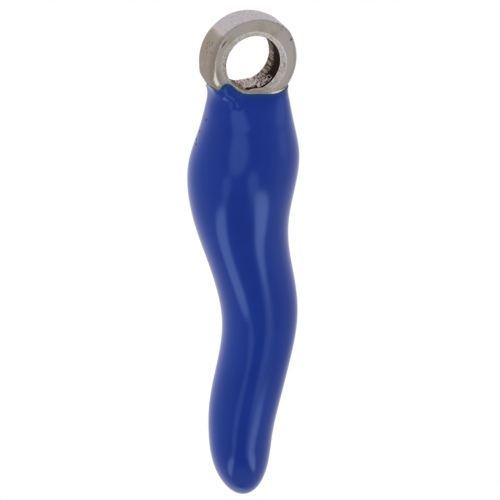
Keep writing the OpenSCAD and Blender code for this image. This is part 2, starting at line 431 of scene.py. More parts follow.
def fired_enamel(colours):
    """Fired glass enamel: a deep blue glass melted on metal. It gives clean reflections on a
    dark saturated body, faint milky patches, a soft unevenness where it flowed, small burst
    bubbles, and teal edges where the metal shows through the thin glass."""
    material, tree, place = blank_material("fired_blue_enamel")
    # Patches of slightly milkier glass, about 1.5 mm across
    patches = add(tree, "ShaderNodeTexNoise", {
        "Vector": place, "Scale": 1 / 1.5, "Detail": 3.0, "Roughness": 0.5})
    body = add(tree, "ShaderNodeValToRGB", {"Fac": patches.outputs["Fac"]},
               stops=[(0.35, colours.enamel), (0.75, colours.enamel_light)])
    thin = add(tree, "ShaderNodeAttribute", attribute_name="thin")
    edge = add(tree, "ShaderNodeValToRGB", {"Fac": thin.outputs["Fac"]},
               stops=[(0.0, grey(0.0)), (0.75, grey(1.0))])
    toned = add(tree, "ShaderNodeMix", {
        "Factor": edge.outputs["Color"], "A": body.outputs["Color"],
        "B": tuple(colours.enamel_thin)}, data_type="RGBA")
    lip = add(tree, "ShaderNodeValToRGB", {"Fac": thin.outputs["Fac"]},
              stops=[(0.86, grey(0.0)), (1.0, grey(1.0))])
    edged = add(tree, "ShaderNodeMix", {
        "Factor": lip.outputs["Color"], "A": toned.outputs[2], "B": tuple(colours.enamel_lip)},
        data_type="RGBA")
    # Burst bubbles about 0.08 mm across, dark with dirt
    burst = 0.0
    for centre in BUBBLES:
        far = add(tree, "ShaderNodeVectorMath", {0: place, 1: centre}, operation="DISTANCE")
        near = add(tree, "ShaderNodeMapRange", {
            "Value": far.outputs["Value"], "From Min": 0.075, "From Max": 0.04})
        either = add(tree, "ShaderNodeMath", {
            0: burst, 1: near.outputs["Result"]}, operation="MAXIMUM")
        burst = either.outputs["Value"]
    dirty = add(tree, "ShaderNodeMix", {
        "Factor": burst, "A": edged.outputs[2], "B": tuple(colours.nick_dirt_and_shade)}, data_type="RGBA")
    rough = add(tree, "ShaderNodeMapRange", {"Value": burst, "To Min": 0.16, "To Max": 0.9})
    coat = add(tree, "ShaderNodeMapRange", {"Value": burst, "To Min": 0.25, "To Max": 0.0})
    # The glass flowed in waves about 2 mm long and a few micrometres high
    waves = add(tree, "ShaderNodeTexNoise", {
        "Vector": place, "Scale": 1 / 2.0, "Detail": 1.0})
    flow = add(tree, "ShaderNodeBump", {
        "Height": waves.outputs["Fac"], "Strength": 1.0, "Distance": 12e-6})
    # Fine unevenness of about 0.25 mm, under one micrometre high
    peel = add(tree, "ShaderNodeTexNoise", {
        "Vector": place, "Scale": 1 / 0.25, "Detail": 2.0})
    skin_bump = add(tree, "ShaderNodeBump", {
        "Height": peel.outputs["Fac"], "Strength": 1.0, "Distance": 0.8e-6,
        "Normal": flow.outputs["Normal"]})
    shade = add(tree, "ShaderNodeBsdfPrincipled", {
        "Base Color": dirty.outputs[2], "Roughness": rough.outputs["Result"], "IOR": 1.7,
        "Specular IOR Level": 1.0, "Specular Tint": (0.34, 0.56, 1.0, 1.0),
        "Coat Weight": coat.outputs["Result"], "Coat Roughness": 0.10, "Coat IOR": 1.5,
        "Normal": skin_bump.outputs["Normal"]})
    add(tree, "ShaderNodeOutputMaterial", {"Surface": shade.outputs["BSDF"]})
    return material


def worn_nickel_and_painted_light(colours):
    """Nickel plating over cast zinc: a warm grey metal with a fine satin grain, duller worn
    patches and cool rubbed ones, painted highlights on its edges, painted shade in places, a
    painted reflection on top, and nearly black in nicks. A thin dull oxide hides part of the metal."""
    material, tree, place = blank_material("worn_nickel_plate_and_painted_light")
    # Worn patches about 0.9 mm across
    wear = add(tree, "ShaderNodeTexNoise", {
        "Vector": place, "Scale": 1 / 0.9, "Detail": 6.0, "Roughness": 0.62})
    plate = add(
        tree, "ShaderNodeValToRGB", {"Fac": wear.outputs["Fac"]},
        stops=[(0.36, colours.plate_dull), (0.50, colours.plate), (0.64, colours.plate_cool)])
    # Specks about 0.08 mm across, lighter and darker
    specks = add(tree, "ShaderNodeTexNoise", {
        "Vector": place, "Scale": 1 / 0.08, "Detail": 4.0, "Roughness": 0.75})
    speck = add(tree, "ShaderNodeMapRange", {
        "Value": specks.outputs["Fac"], "From Min": 0.35, "From Max": 0.65, "To Min": -0.6,
        "To Max": 0.4})
    # The left of the outside is warm and dull, with painted shade, and its top is cool and
    # speckled, a painted reflection
    tone = add(tree, "ShaderNodeAttribute", attribute_name="tone").outputs["Fac"]
    cool = add(tree, "ShaderNodeMath", {0: tone, 1: 0.0}, operation="MAXIMUM")
    shifted = add(tree, "ShaderNodeMath", {
        0: tone, 1: 0.15, 2: wear.outputs["Fac"]}, operation="MULTIPLY_ADD")
    tree.links.new(shifted.outputs["Value"], plate.inputs["Fac"])
    # This mark holds the painted highlights of the edges and face, the painted shade, and the dark
    # nicks and pits
    rubbed = add(tree, "ShaderNodeAttribute", attribute_name="rubbed").outputs["Fac"]
    edges = add(tree, "ShaderNodeMath", {0: rubbed, 1: 0.15}, operation="GREATER_THAN")
    amount = add(tree, "ShaderNodeMath", {
        0: cool.outputs["Value"], 1: 0.6, 2: edges.outputs["Value"]}, operation="MULTIPLY_ADD")
    uneven = add(tree, "ShaderNodeMath", {
        0: speck.outputs["Result"], 1: amount.outputs["Value"], 2: rubbed},
        operation="MULTIPLY_ADD")
    # Painted highlight where the mark is above 0, mixed towards the near-white edge colour; below 0
    # it turns dark, for nicks and painted shade
    bright = add(tree, "ShaderNodeMapRange", {"Value": uneven.outputs["Value"]})
    dark = add(tree, "ShaderNodeMapRange", {
        "Value": uneven.outputs["Value"], "From Min": 0.0, "From Max": -1.0})
    highlighted = add(tree, "ShaderNodeMix", {
        "Factor": bright.outputs["Result"], "A": plate.outputs["Color"], "B": tuple(colours.bevel)},
        data_type="RGBA")
    nicked_and_shaded = add(tree, "ShaderNodeMix", {
        "Factor": dark.outputs["Result"], "A": highlighted.outputs[2], "B": tuple(colours.nick_dirt_and_shade)},
        data_type="RGBA")
    # Satin grain, drawn at 0.05 mm so that it shows
    grain = add(tree, "ShaderNodeTexNoise", {
        "Vector": place, "Scale": 1 / 0.05, "Detail": 3.0, "Roughness": 0.7})
    satin = add(tree, "ShaderNodeMapRange", {
        "Value": grain.outputs["Fac"], "To Min": 0.36, "To Max": 0.56})
    warm = add(tree, "ShaderNodeMath", {0: tone, 1: 0.0}, operation="MINIMUM")
    rough = add(tree, "ShaderNodeMath", {
        0: warm.outputs["Value"], 1: -0.2, 2: satin.outputs["Result"]},
        operation="MULTIPLY_ADD")
    fine = add(tree, "ShaderNodeBump", {
        "Height": grain.outputs["Fac"], "Strength": 1.0, "Distance": 3e-6})
    dents = add(tree, "ShaderNodeTexNoise", {
        "Vector": place, "Scale": 1 / 0.35, "Detail": 2.0})
    dented = add(tree, "ShaderNodeBump", {
        "Height": dents.outputs["Fac"], "Strength": 1.0, "Distance": 10e-6,
        "Normal": fine.outputs["Normal"]})
    # Where the highlight is painted, part of the mirror is taken away, so that the painted
    # near-white shows
    metal = add(tree, "ShaderNodeMapRange", {
        "Value": bright.outputs["Result"], "To Min": 0.75, "To Max": 0.3})
    shade = add(tree, "ShaderNodeBsdfPrincipled", {
        "Base Color": nicked_and_shaded.outputs[2], "Metallic": metal.outputs["Result"],
        "Roughness": rough.outputs["Value"], "Normal": dented.outputs["Normal"]})
    add(tree, "ShaderNodeOutputMaterial", {"Surface": shade.outputs["BSDF"]})
    return material


def dark_front_bore(colours):
    """The bore: dull and nearly black brown in its front half, up to a ragged border, and
    lighter brown towards its back, with pale short marks along the bore there."""
    material, tree, place = blank_material("dark_front_bore")
    # Marks about 0.1 mm apart round the bore and 0.7 mm long
    around = add(tree, "ShaderNodeUVMap", uv_map="around")
    marks = add(tree, "ShaderNodeMapping", {
        "Vector": around.outputs["UV"], "Scale": (1 / 0.09, 1 / 0.7, 1.0)})
    lines = add(tree, "ShaderNodeTexNoise", {
        "Vector": marks.outputs["Vector"], "Scale": 1.0, "Detail": 3.0, "Roughness": 0.65},
        noise_dimensions="2D")
    back = add(tree, "ShaderNodeValToRGB", {"Fac": lines.outputs["Fac"]},
               stops=[(0.40, colours.bore_dull), (0.66, colours.bore_rubbed)])
    # The bore is nearly black in its front half, up to a ragged border
    depth = add(tree, "ShaderNodeSeparateXYZ", {"Vector": place})
    ragged = add(tree, "ShaderNodeMath", {
        0: lines.outputs["Fac"], 1: 0.8, 2: depth.outputs["Y"]}, operation="MULTIPLY_ADD")
    back_share = add(tree, "ShaderNodeMapRange", {
        "Value": ragged.outputs["Value"], "From Min": 0.40, "From Max": 0.68},
        interpolation_type="SMOOTHSTEP")
    tone = add(tree, "ShaderNodeMix", {
        "Factor": back_share.outputs["Result"], "A": tuple(colours.bore), "B": back.outputs["Color"]},
        data_type="RGBA")
    bump = add(tree, "ShaderNodeBump", {
        "Height": lines.outputs["Fac"], "Strength": 1.0, "Distance": 8e-6})
    shade = add(tree, "ShaderNodeBsdfPrincipled", {
        "Base Color": tone.outputs[2], "Roughness": 0.7, "Specular IOR Level": 0.05,
        "Normal": bump.outputs["Normal"]})
    add(tree, "ShaderNodeOutputMaterial", {"Surface": shade.outputs["BSDF"]})
    return material


def cast_metal(colours):
    """Cast zinc alloy, as it leaves the mould: a grey metal with a grain of fine pits. Only
    its edge shows, as a line between the enamel and the eye, with a painted highlight on its
    right."""
    material, tree, place = blank_material("cast_zinc_alloy")
    pits = add(tree, "ShaderNodeTexNoise", {
        "Vector": place, "Scale": 1 / 0.12, "Detail": 4.0, "Roughness": 0.65})
    tone = add(tree, "ShaderNodeValToRGB", {"Fac": pits.outputs["Fac"]},
               stops=[(0.3, colours.plate), (0.6, colours.plate_cool)])
    # Painted highlight: near-white and less metallic on the lip's right
    filed = add(tree, "ShaderNodeAttribute", attribute_name="filed").outputs["Fac"]
    edged = add(tree, "ShaderNodeMix", {
        "Factor": filed, "A": tone.outputs["Color"], "B": tuple(colours.bevel)}, data_type="RGBA")
    metal = add(tree, "ShaderNodeMapRange", {"Value": filed, "To Min": 0.7, "To Max": 0.1})
    bump = add(tree, "ShaderNodeBump", {
        "Height": pits.outputs["Fac"], "Strength": 1.0, "Distance": 6e-6})
    shade = add(tree, "ShaderNodeBsdfPrincipled", {
        "Base Color": edged.outputs[2], "Metallic": metal.outputs["Result"],
        "Roughness": 0.5, "Normal": bump.outputs["Normal"]})
    add(tree, "ShaderNodeOutputMaterial", {"Surface": shade.outputs["BSDF"]})
    return material


def rough_solder(colours):
    """Rough solder: fine grains of metal with a dull oxide, pinkish grey on their tops and
    dark brown in the hollows between them, scorched brown at one end, and painted dark as
    shade where its edges go down to the bore's floor."""
    material, tree, place = blank_material("rough_solder")
    # Grains about 0.07 mm across
    grains = add(tree, "ShaderNodeTexNoise", {
        "Vector": place, "Scale": 1 / 0.07, "Detail": 3.0, "Roughness": 0.7})
    # This mark darkens the hollows between grains and the right, and paints shade where the
    # solder's edges go down to the floor
    hollow = add(tree, "ShaderNodeAttribute", attribute_name="hollow")
    mixed = add(tree, "ShaderNodeMath", {
        0: grains.outputs["Fac"], 1: hollow.outputs["Fac"]}, operation="ADD")
    scorched = add(tree, "ShaderNodeAttribute", attribute_name="scorched")
    tops = add(tree, "ShaderNodeMix", {
        "Factor": scorched.outputs["Fac"], "A": tuple(colours.solder), "B": tuple(colours.scorch)},
        data_type="RGBA")
    # The ledge at the front has the colour of the plate
    smooth = add(tree, "ShaderNodeAttribute", attribute_name="smooth")
    plain = add(tree, "ShaderNodeMix", {
        "Factor": smooth.outputs["Fac"], "A": tops.outputs[2], "B": tuple(colours.plate_dull)},
        data_type="RGBA")
    pitted = add(tree, "ShaderNodeMapRange", {
        "Value": mixed.outputs["Value"], "From Min": 0.50, "From Max": 0.72})
    tone = add(tree, "ShaderNodeMix", {
        "Factor": pitted.outputs["Result"], "A": plain.outputs[2], "B": tuple(colours.solder_pit_and_shade)},
        data_type="RGBA")
    bump = add(tree, "ShaderNodeBump", {
        "Height": grains.outputs["Fac"], "Strength": 1.0, "Distance": 25e-6}, invert=True)
    shade = add(tree, "ShaderNodeBsdfPrincipled", {
        "Base Color": tone.outputs[2], "Metallic": 0.4, "Roughness": 0.5,
        "Normal": bump.outputs["Normal"]})
    add(tree, "ShaderNodeOutputMaterial", {"Surface": shade.outputs["BSDF"]})
    return material


def rounded_path(corners, radii, steps, counts):
    """Points of an open path of straight lines whose corners are rounded by arcs. An arc of
    radius r starts r*tan(t/2) before its corner, where t is the turn there, and its points
    are its centre plus r times a direction that turns evenly from one normal to the other.
    Each straight part has its own number of points between its ends, at even steps."""
    corners = [np.array(c, float) for c in corners]
    path = [corners[0][None]]
    shares = [np.linspace(0, 1, count + 2)[1:-1, None] for count in counts]
    for before, at, after, r, share in zip(corners, corners[1:], corners[2:], radii, shares):
        inward = (at - before) / np.linalg.norm(at - before)
        outward = (after - at) / np.linalg.norm(after - at)
        turn = math.atan2(inward[0] * outward[1] - inward[1] * outward[0], inward @ outward)
        start = at - inward * r * abs(math.tan(turn / 2))
        side = np.array([-inward[1], inward[0]]) * math.copysign(1, turn)
        a = turn * np.linspace(0, 1, steps)[:, None]
        path.append(path[-1][-1] + (start - path[-1][-1]) * share)
        path.append(start + side * r + r * (-side * np.cos(a) + inward * np.sin(np.abs(a))))
    path.append(path[-1][-1] + (corners[-1] - path[-1][-1]) * shares[-1])
    path.append(corners[-1][None])
    return np.concatenate(path)


def eye_profile(eye, bevel_w, edge_r):
    """Half of the eye's profile, distance from the axis against place along it: the bore, the
    bevel, the face, the rounded edge and half of the outside."""
    half, bore, outer = mm(eye.long) / 2, mm(eye.bore_r), mm(eye.outer_r)
    inner = half - mm(eye.bevel_depth)
    # Both edges of the bevel are barely rounded
    radii = [0.02, 0.04, edge_r]
    return rounded_path(
        [(bore, 0), (bore, -inner), (bore + bevel_w, -half), (outer, -half), (outer, 0)],
        radii, steps=12, counts=[8, 6, 24, 20])


def eye_rows(eye, edge_r, bevel_w):
    """Profile of the eye at each angle round it, as rows of columns. At the back it is even
    all round. At the front it is a narrow bevel and a sharp edge, plus a share at each angle
    of the difference that a broad bevel and a blunt edge make."""
    narrow, broad = 0.12, 0.24
    sharp, blunt = 0.04, 0.28
    least = eye_profile(eye, narrow, sharp)
    wider = (eye_profile(eye, broad, sharp) - least)[:, None]
    rounder = (eye_profile(eye, narrow, blunt) - least)[:, None]
    front = least[:, None] + wider * (bevel_w[:, None] - narrow) / (broad - narrow)
    front = front + rounder * (edge_r[:, None] - sharp) / (blunt - sharp)
    back = eye_profile(eye, mm(eye.bevel_w), mm(eye.edge_r))
    return np.concatenate([front, (back[-2:0:-1] * [1, -1])[:, None] + 0 * front[:1]])


def eye_mark(place, rho, turn, bore):
    """Share of a scratch or notch, past 1 where it is full: 1.5 times a bell across it, times
    a flat-topped one along it."""
    beyond, half_w, at, half_turn = place[:4]
    return 1.5 * bell(rho - bore - beyond, half_w) * bell(turn - at, half_turn, 4)


def eye_wear(eye, rho, y, turn, edge_r, bevel_w):
    """How much painted highlight the eye has, or how dark it is below 0, in nicks, pits and
    painted shade, and how cool its outside is, or warm below 0, a painted reflection on top and
    painted shade at the left. A place is rho from the axis, y along it and a turn round it."""
    half, bore, outer = mm(eye.long) / 2, mm(eye.bore_r), mm(eye.outer_r)
    front = y < 0
    # Painted highlights: both edges of the bevel, more at its right, and its slope. The
    # inner edge is painted dark at the bottom, as shade
    line_w = 0.025
    deep = half - mm(eye.bevel_depth)
    width = np.where(front, bevel_w, mm(eye.bevel_w))
    inner = 0.9 - 1.4 * bell(turn - 4.68, 0.42, 4) * front
    rubbed = inner * bell(rho - bore - 0.015, line_w)
    right = 0.6 + 0.3 * np.cos(turn - 0.5) + 0.25 * bell(turn - 2.9, 0.5)
    rubbed += right * bell(rho - bore - width + 0.02, line_w)
    slope = 0.36 + 0.30 * np.cos(turn - 1.2)
    rubbed += slope * bell(rho - bore - width / 2, 0.45 * width, 4)
    # The front face has a little painted sheen all over, and most at its right
    border = outer - edge_r
    flat = soft_step(0, 0.05, rho - bore - width) * (1 - soft_step(-0.02, 0.02, rho - border))
    rubbed += (0.09 + 0.05 * np.cos(turn - 0.2)) * flat * front
    # On the left the border of the face has a painted highlight, a line that widens
    # downwards, with a band of painted shade inside it
    lower = soft_step(3.0, 3.6, turn)
    wide = 0.02 + 0.04 * lower
    line = between(2.3, 2.45, 3.50, 3.64, turn) * front
    rubbed += (0.6 + 1.8 * lower) * line * bell(rho - border - wide + 0.02, wide)
    band = between(2.95, 3.3, 3.75, 3.95, turn) * front
    rubbed -= 0.30 * band * bell(rho - border + 0.11, 0.06)
    # The scratch, the notch and the pits are dark
    nicks = sum(eye_mark(place, rho, turn, bore) for place in (SCRATCH, NOTCH)) * front
    pits = sum(bell((turn - at) * outer, PIT_R) * bell(y - place, PIT_R) for at, place in PITS)
    face = soft_step(deep - 0.02, deep + 0.02, np.abs(y))
    rubbed = rubbed * face * np.clip(1 - nicks, 0, 1) - nicks - 1.2 * pits * (rho > outer - 0.2)
    # The outside is warm and dull at the left, with painted shade, and cool and speckled on
    # top, a painted reflection
    outside = soft_step(-0.01, 0.02, rho - border) * (y < half - 0.05)
    above = soft_step(1.03, 1.45, rho * np.sin(turn) + 0.35 * np.cos(turn))
    side = -0.6 + 0.9 * np.cos(turn)
    tone = outside * (0.9 * above + side * (1 - above)) + 0.05 * (1 - outside)
    return rubbed, tone


class CHARM_OT_eye(bpy.types.Operator):
    """Make the thick plated eye"""
    bl_idname = "charm.eye"
    bl_label = "Eye"

    def execute(self, context):
        """Surface round Y: at each angle the profile's x and z are its distance from the axis
        times the angle's cosine and sine."""
        eye, colours = context.scene.charm_eye, context.scene.charm_colours
        bore, outer = mm(eye.bore_r), mm(eye.outer_r)
        columns = 360
        turn = np.linspace(0, 2 * math.pi, columns, endpoint=False)
        edge_r = along(FRONT_EDGE, turn / (2 * math.pi), closed=True)
        bevel_w = along(FRONT_BEVEL, turn / (2 * math.pi), closed=True)
        profile = eye_rows(eye, edge_r, bevel_w)
        rho, y = profile[..., 0], profile[..., 1]
        rows = len(profile)
        reach = np.linalg.norm(np.diff(profile, axis=0, append=profile[:1]), axis=2)
        run = np.concatenate([[0], np.cumsum(reach.mean(axis=1))[:-1]])[:, None]
        # The eye's marks: painted highlights and painted shade with the nicks and pits, and a tone
        # that paints a reflection on the top of its outside and shade at its left
        rubbed, tone = eye_wear(eye, rho, y, turn, edge_r, bevel_w)
        # Hand work left the outside a few hundredths of a millimetre uneven, and fuller in
        # two places
        x, z = rho * np.cos(turn), rho * np.sin(turn)
        uneven = 0.003 * ripple(x, y, z, np.linspace(0.7, 1.8, 24), 5)
        uneven *= soft_step(bore + 0.02, bore + 0.3, rho)
        full = sum(high * bell(turn - at, half_turn) for at, half_turn, high in FULLER)
        uneven += full * soft_step(bore + 0.3, outer - 0.1, rho)
        x, z = (rho + uneven) * np.cos(turn), (rho + uneven) * np.sin(turn)
        front = y < 0
        for place in (SCRATCH, NOTCH):
            y = y + place[-1] * np.clip(eye_mark(place, rho, turn, bore) * front, 0, 1)
        points = np.stack([x, y, z], axis=-1).reshape(-1, 3)
        uv = np.stack([turn * bore + 0 * rho, run + 0 * rho], axis=-1).reshape(-1, 2)
        faces = grid_faces(rows + 1, columns) % (rows * columns)
        piece = mesh_piece("eye", points, [faces], {"rubbed": rubbed, "tone": tone}, uv)
        finish_piece(piece, worn_nickel_and_painted_light(colours), "plated_eye", "eye_ring")
        piece.data.materials.append(dark_front_bore(colours))
        inner_row = profile[:, 0, 0] < bore + 0.006
        bore_faces = np.repeat(inner_row & np.roll(inner_row, -1), columns)
        piece.data.polygons.foreach_set("material_index", bore_faces.astype(int))
        return {"FINISHED"}


class CHARM_OT_core(bpy.types.Operator):
    """Make the cast body under the enamel, with its socket for the eye"""
    bl_idname = "charm.core"
    bl_label = "Cast core"

    def execute(self, context):
        """The pepper's skin set in by the enamel's thickness, up to a rounded lip that follows
        the enamel's edge round the eye. The socket under the lip is the eye's outside, the
        radius of the eye at each depth swept round its bore, grown by a small gap."""
        pepper, eye = context.scene.charm_pepper, context.scene.charm_eye
        columns = 160
        angle = np.linspace(0, 2 * math.pi, columns, endpoint=False)
        # The lip stands 0.02 mm above the enamel's edge, with a roll 0.03 mm high on it
        shows, roll = 0.02, 0.03
        top = edge_drop(angle) - shows
        enamel_t = mm(pepper.enamel_t)
        drop = drops_below(pepper, top, 8, 90, enamel_t)[::-1]
        # The enamel thins by up to 0.4 of itself above the rim
        thinner = 1 - 0.4 * soft_step(0, 0.3, mm(pepper.rim_drop) - drop)
        film = enamel_at(pepper, drop) * thinner + BOND_GAP
        x, y = skin(pepper, eye, drop, angle, film)
        outside = np.stack([x, y, -drop], axis=-1)
        width = wall_at(pepper, top) - film[-1]
        lips = []
        for turn in np.linspace(0, math.pi / 2, 5)[1:]:
            inset = film[-1] + (width - BOND_GAP) * (1 - math.cos(turn))
            lip_x, lip_y = skin(pepper, eye, top, angle, inset)
            lips.append(np.stack([lip_x, lip_y, -top + roll * math.sin(turn)], axis=-1))
        half, edge_r = mm(eye.long) / 2, mm(eye.edge_r)
        socket = []
        for share in np.linspace(1, 0, 14)[:-1]:
            in_x, in_y = lips[-1][:, 0] * share, lips[-1][:, 1] * share
            side = np.clip(np.abs(in_y) - (half - edge_r), 0, edge_r)
            reach = mm(eye.outer_r) - edge_r + np.sqrt(edge_r**2 - side**2) + 2 * BOND_GAP
            deep = np.sqrt(np.maximum(reach**2 - in_x**2, 0))
            deep = np.maximum(deep, top + shows)
            socket.append(np.stack([in_x, in_y, -deep], axis=-1))
        grid = np.concatenate([outside, np.stack(lips), np.stack(socket)])[::-1]
        lowest = mm(pepper.tip_drop) - enamel_t
        tip_x = float(skin(pepper, eye, np.array(lowest), 0.0, enamel_t)[0])
        points, faces = closed_grid(
            grid, [tip_x, 0, BOND_GAP - lowest], [0, 0, -mm(eye.outer_r) - 2 * BOND_GAP])
        # The lip has a painted highlight on its right, in front
        filed = between(290, 300, 338, 350, np.degrees(angle))
        filed = np.append(np.tile(filed, len(grid)), [0, 0])
        piece = mesh_piece("core", points, faces, {"filed": filed})
        finish_piece(piece, cast_metal(context.scene.charm_colours), "cast_core", "pepper_core")
        return {"FINISHED"}


class CHARM_OT_enamel(bpy.types.Operator):
    """Make the blue enamel, with the tongue that runs up on to the eye"""
    bl_idname = "charm.enamel"
    bl_label = "Enamel"

    def execute(self, context):
        """Outer wall: the pepper's skin from its own edge to the tip, pushed out along a
        swelling under the tongue. A rounded lip, of a quarter circle of rows, closes its upper
        edge, and the inner wall runs back to the tip at the enamel's thickness."""
        pepper, eye = context.scene.charm_pepper, context.scene.charm_eye
        columns = 200
        angle = np.linspace(0, 2 * math.pi, columns, endpoint=False)
        share = tongue(angle)
        top = edge_drop(angle) - mm(pepper.tongue_h) * share
        drop = drops_below(pepper, top, 18, 220, 0)
        x, y = skin(pepper, eye, drop, angle, 0)
        # The swelling runs down and to the right from the tongue, and fades out. One length is
        # measured across it and one down it
        right, below = x - SWELL_FROM[0], drop - SWELL_FROM[1]
        down = SWELL_WAY[0] * right + SWELL_WAY[1] * below
        across = SWELL_WAY[0] * below - SWELL_WAY[1] * right - SWELL_ASIDE
        swell = bell(across, SWELL_HALF_W) * between(-0.25, 0.15, 0.55, 1.05, down) * (y < 0)
        y = y - mm(pepper.ridge_h) * swell
        outside = np.stack([x, y, -drop], axis=-1)
        # The lip reaches in to the eye at the tongue, and is a film of 0.05 mm elsewhere, with a
        # roll 0.035 mm high on it
        enamel_t, tip_drop = mm(pepper.enamel_t), mm(pepper.tip_drop)
        thin_edge, roll = 0.05, 0.035
        edge_t = np.where(share > 0.02, wall_at(pepper, top), thin_edge)
        lips = []
        for turn in np.linspace(math.pi / 2, 0, 6)[:-1]:
            lip_x, lip_y = skin(pepper, eye, top, angle, edge_t * (1 - math.cos(turn)))
            lips.append(np.stack([lip_x, lip_y, -top + roll * math.sin(turn)], axis=-1))
        in_drop = drops_below(pepper, edge_drop(angle) + 0.02, 5, 60, enamel_t)[::-1]
        in_x, in_y = skin(pepper, eye, in_drop, angle, enamel_at(pepper, in_drop))
        inside = np.stack([in_x, in_y, -in_drop], axis=-1)
        grid = np.concatenate([inside, np.stack(lips), outside])
        tip_x = float(skin(pepper, eye, np.array(tip_drop), 0.0, 0.0)[0])
        points, faces = closed_grid(grid, [tip_x, 0, -tip_drop], [tip_x, 0, enamel_t - tip_drop])
        # How thin the glass looks: full at its edge, and fading down from it, e^(-drop/reach)
        fading = np.concatenate([np.zeros((len(lips), columns)), drop - top])
        reach = 0.07 + 0.10 * share
        film = np.exp(-fading / reach) * (0.7 + 0.3 * soft_step(0, 0.2, share))
        thin = np.concatenate([np.zeros_like(in_drop), film]).ravel()
        piece = mesh_piece("enamel", points, faces, {"thin": np.append(thin, [0, 0])})
        finish_piece(
            piece, fired_enamel(context.scene.charm_colours), "blue_enamel", "enamel_coat")
        return {"FINISHED"}


def solder_relief(eye, u, v):
    """Height of the solder over the bore's floor, and the marks of its finish, where u runs
    across the bore and v along it. The top is nearly flat and uneven by a sum of waves of
    0.07 to 0.22 mm, and goes down to nothing at its ends, the front one ragged. A thin broken
    film runs up the bore at its left and right. A smooth ledge nearly as high as the top
    closes the front of the bore, and the groove between the two is painted dark as shade."""
    sunk, grain_h, above_top, flare = 0.004, 0.018, 0.035, 0.68
    # The bed's box ends at its highest grains, and its mean top lies a little lower
    flat = mm(eye.solder_drop) + above_top
    # The bore's floor goes down under the front bevel, two across to one along
    floor_r = mm(eye.bore_r) - sunk + 2.0 * np.maximum(-v - flare, 0)
    floor_z = -np.sqrt(floor_r**2 - u**2)
    grain = grain_h * ripple(u, v, 0, np.linspace(0.07, 0.22, 40), 11)
    ragged = 0.03 * ripple(u, 0, 0, np.linspace(0.1, 0.4, 9), 3)
    near = -0.45 + 0.36 * soft_step(-0.1, 0.9, u) + ragged
    ends = between(near - 0.05, near + 0.02, 0.56, 0.60, v)
    # The films: the right one thins out upwards, and its back border slopes to the front
    back = 0.95 - 1.2 * u
    right = 0.9 * grain - 0.004 + 0.045 * (1 - soft_step(0.64, 0.84, u))
    right = right * between(0.30, 0.45, 0.76, 0.95, u)
    right = right * between(-0.52, -0.45, back - 0.15, back, v)
    left = 0.9 * grain + 0.012
    left = left * between(-0.78, -0.62, -0.45, -0.30, u) * between(-0.62, -0.55, -0.20, 0.10, v)
    film = np.maximum(right, left)
    # The top rises a little to the right, and more so where it meets the wall of the bore
    bank = 0.05 * u + 0.28 * np.maximum(u - 0.32, 0)
    high = np.maximum((-flat + bank + grain - floor_z) * ends, np.maximum(film, 0))
    ledge = between(-0.34, 0.0, 0.40, 0.62, u) * between(-0.735, -0.685, -0.65, -0.62, v)
    ledge_drop = flat + 0.03
    high = np.maximum(high, np.maximum(-ledge_drop - floor_z, 0) * ledge)
    high[0], high[-1], high[:, 0], high[:, -1] = 0, 0, 0, 0
    # Where it is smooth, where it is scorched brown, and how dark it is: in the hollows
    # between grains, towards the right, and as painted shade where no solder covers the floor
    smooth = np.where(v < -0.66, 1, ledge)
    scorched = (1 - soft_step(-0.42, -0.26, u)) * (1 - soft_step(0.15, 0.40, v))
    cover = np.maximum(np.maximum(ends, smooth), film > 0)
    hollow = 0.5 * np.clip(-grain / 0.05, 0, 1) + 0.5 * (1 - cover)
    hollow += 0.10 * soft_step(0.35, 0.55, u) - 0.3 * smooth + 0.08 * scorched
    return floor_z, high, {"hollow": hollow, "scorched": scorched, "smooth": smooth}


class CHARM_OT_solder(bpy.types.Operator):
    """Make the rough solder on the floor of the bore"""
    bl_idname = "charm.solder"
    bl_label = "Solder"

    def execute(self, context):
        """A grid on the floor of the bore, raised by the solder's height, and a second one
        just under the floor, which the first meets where the height is nothing."""
        wide, deep, under_floor = 181, 165, 0.002
        u, v = np.meshgrid(np.linspace(-0.80, 1.00, wide), np.linspace(-0.75, 0.62, deep))
        floor_z, high, marks = solder_relief(context.scene.charm_eye, u, v)
        over = np.stack([u, v, floor_z + high], axis=-1).reshape(-1, 3)
        under = np.stack([u, v, floor_z - under_floor], axis=-1).reshape(-1, 3)
        under[(high == 0).ravel(), 2] += under_floor
        j, i = np.meshgrid(np.arange(deep - 1), np.arange(wide - 1), indexing="ij")
        a = (j * wide + i).ravel()
        quads = np.stack([a, a + 1, a + wide + 1, a + wide], axis=-1)
        quads = quads[(high.ravel()[quads] > 0).any(axis=1)]
        piece = mesh_piece(
            "solder", np.concatenate([over, under]), [quads, quads[:, ::-1] + wide * deep],
            {name: np.tile(values.ravel(), 2) for name, values in marks.items()})
        # The two grids are joined where they meet, and points without a face are dropped
        shell = bmesh.new()
        shell.from_mesh(piece.data)
        bmesh.ops.remove_doubles(shell, verts=shell.verts, dist=1e-8)
        loose = [point for point in shell.verts if not point.link_faces]
        bmesh.ops.delete(shell, geom=loose, context="VERTS")
        shell.to_mesh(piece.data)
        shell.free()
        finish_piece(
            piece, rough_solder(context.scene.charm_colours), "rough_solder", "solder_bed")
        return {"FINISHED"}


# How bright the light tent looks to a mirror, at angles round the object from straight in
# front. It is dim in front and nearly white behind
ROOM = [
    (-180, 0.90), (-160, 0.93), (-140, 0.86), (-125, 0.64), (-100, 0.42), (-75, 0.31),
    (-45, 0.22), (-20, 0.17), (10, 0.17), (30, 0.20), (55, 0.31), (80, 0.37), (100, 0.54),
    (120, 0.74), (150, 0.88), (180, 0.90)]

# Elevations between which the tent's walls turn into its top, and how bright that looks
TENT_TOP_FROM, TENT_TOP_TO, TENT_TOP = 45, 80, 0.5

